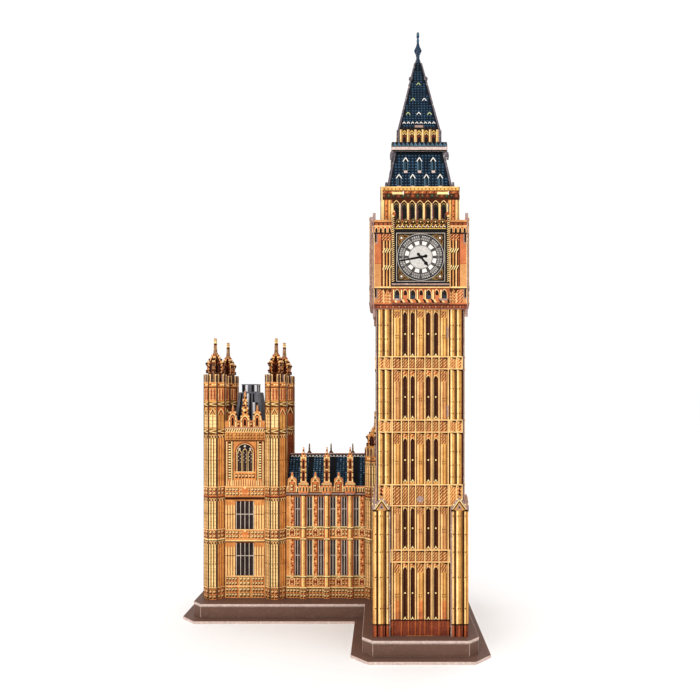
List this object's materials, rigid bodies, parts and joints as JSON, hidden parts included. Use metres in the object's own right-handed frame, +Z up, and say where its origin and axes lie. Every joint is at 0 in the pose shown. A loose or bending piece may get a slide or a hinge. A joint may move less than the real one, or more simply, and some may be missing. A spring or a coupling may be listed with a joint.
{
  "type": "foam-board clock tower model",
  "caption": "Slotted foam-board model of a Gothic clock tower with a palace wing and a turreted gatehouse, on an L-shaped base.",
  "frame": {"origin": "middle of the base's underside, taken on its bounding box", "axes": "+Z up along the towers; -Y is the front, the way the gatehouse and the clock tower's main face look; +X is to the viewer's right, the clock tower's end"},
  "size_m": [0.2474, 0.1826, 0.472],
  "materials": {
    "base_board": "matte brown print on foam board",
    "stone_print_board": "satin print of golden stonework on foam board",
    "slate_print_board": "satin print of dark blue slates and gold trim on foam board",
    "lead_print_board": "satin print of grey lead roofing on foam board",
    "dial_print_board": "satin print of a clock dial and its frame on foam board"
  },
  "bodies": {
    "root": {"base_plate": "base_board", "belfry_cornice": "stone_print_board", "belfry_wall_back": "stone_print_board", "belfry_wall_front": "stone_print_board", "belfry_wall_left": "stone_print_board", "belfry_wall_right": "stone_print_board", "clock_floor": "stone_print_board", "clock_ledge": "stone_print_board", "clock_wall_back": "stone_print_board", "clock_wall_front": "stone_print_board", "clock_wall_left": "stone_print_board", "clock_wall_right": "stone_print_board", "corner_pier_back_left": "stone_print_board", "corner_pier_back_right": "stone_print_board", "corner_pier_front_left": "stone_print_board", "corner_pier_front_right": "stone_print_board", "dial_panel_back": "dial_print_board", "dial_panel_front": "dial_print_board", "dial_panel_left": "dial_print_board", "dial_panel_right": "dial_print_board", "finial": "slate_print_board", "gate_crown_back_left": "stone_print_board", "gate_crown_back_right": "stone_print_board", "gate_crown_front_left": "stone_print_board", "gate_crown_front_right": "stone_print_board", "gate_facade_back": "stone_print_board", "gate_facade_front": "stone_print_board", "gate_roof": "lead_print_board", "gate_turret_back_left": "stone_print_board", "gate_turret_back_right": "stone_print_board", "gate_turret_front_left": "stone_print_board", "gate_turret_front_right": "stone_print_board", "gate_wall_left": "stone_print_board", "gate_wall_right": "stone_print_board", "lantern_tray": "slate_print_board", "link_turret_left": "stone_print_board", "link_turret_right": "stone_print_board", "plinth_top": "base_board", "plinth_wall": "base_board", "roof_panel_back": "slate_print_board", "roof_panel_front": "slate_print_board", "roof_panel_left": "slate_print_board", "roof_panel_right": "slate_print_board", "shaft_brace": "stone_print_board", "shaft_wall_back": "stone_print_board", "shaft_wall_front": "stone_print_board", "shaft_wall_left": "stone_print_board", "shaft_wall_right": "stone_print_board", "spire_panel_back": "slate_print_board", "spire_panel_front": "slate_print_board", "spire_panel_left": "slate_print_board", "spire_panel_right": "slate_print_board", "wing_buttress_1": "stone_print_board", "wing_buttress_2": "stone_print_board", "wing_buttress_3": "stone_print_board", "wing_end_wall": "stone_print_board", "wing_facade_back": "stone_print_board", "wing_facade_front": "stone_print_board", "wing_facade_inner": "stone_print_board", "wing_roof": "slate_print_board"}
  },
  "joints": []
}
